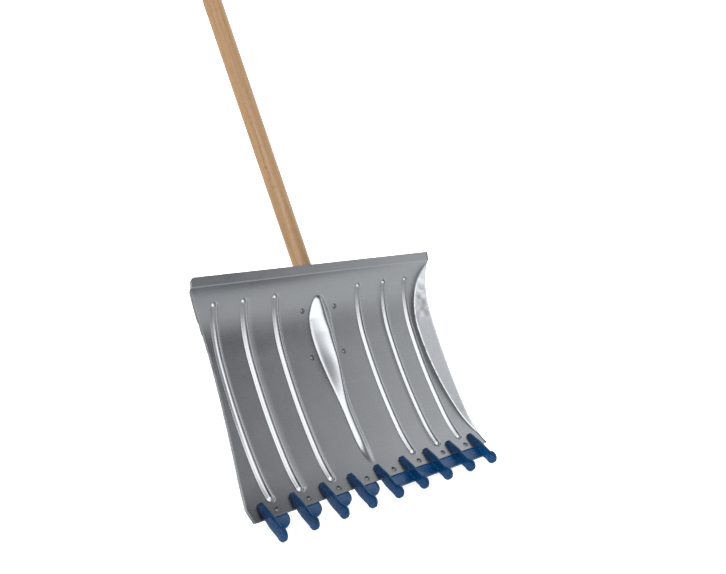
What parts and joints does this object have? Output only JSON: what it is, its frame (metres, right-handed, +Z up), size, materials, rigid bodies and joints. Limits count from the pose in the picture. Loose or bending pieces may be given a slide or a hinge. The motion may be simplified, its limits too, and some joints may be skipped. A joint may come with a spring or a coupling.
{
  "type": "snow shovel",
  "caption": "Wide snow shovel with a curved, ribbed aluminium scoop, folded sides, blue plastic glides along the edge and a long straight wooden handle.",
  "frame": {"origin": "middle of the scoop's cutting edge, on the front face of the sheet", "axes": "+X across the scoop to its right as the hollow side is faced, +Y towards the back of the scoop, +Z up; the shovel stands on its edge with the handle leaning back by about 29 degrees"},
  "size_m": [0.5016, 0.8081, 1.3427],
  "materials": {
    "pressed_aluminium": "satin rolled sheet with fine scratches",
    "beech": "sanded beech with a thin clear coat",
    "bracket_steel": "pressed sheet",
    "rivet_metal": "plain bright rivets and washers",
    "screw_steel": "zinc plated",
    "blue_plastic": "glossy moulded, slightly translucent"
  },
  "bodies": {
    "root": {"blade": "pressed_aluminium", "handle": "beech", "handle_bracket": "bracket_steel", "bracket_rivets": "rivet_metal", "handle_screw": "screw_steel", "glide_clip_1": "blue_plastic", "glide_clip_2": "blue_plastic", "glide_clip_3": "blue_plastic", "glide_clip_4": "blue_plastic", "glide_strip": "blue_plastic", "clip_rivets": "rivet_metal", "strip_rivets": "rivet_metal", "clip_washers": "rivet_metal", "strip_washers": "rivet_metal"}
  },
  "joints": []
}
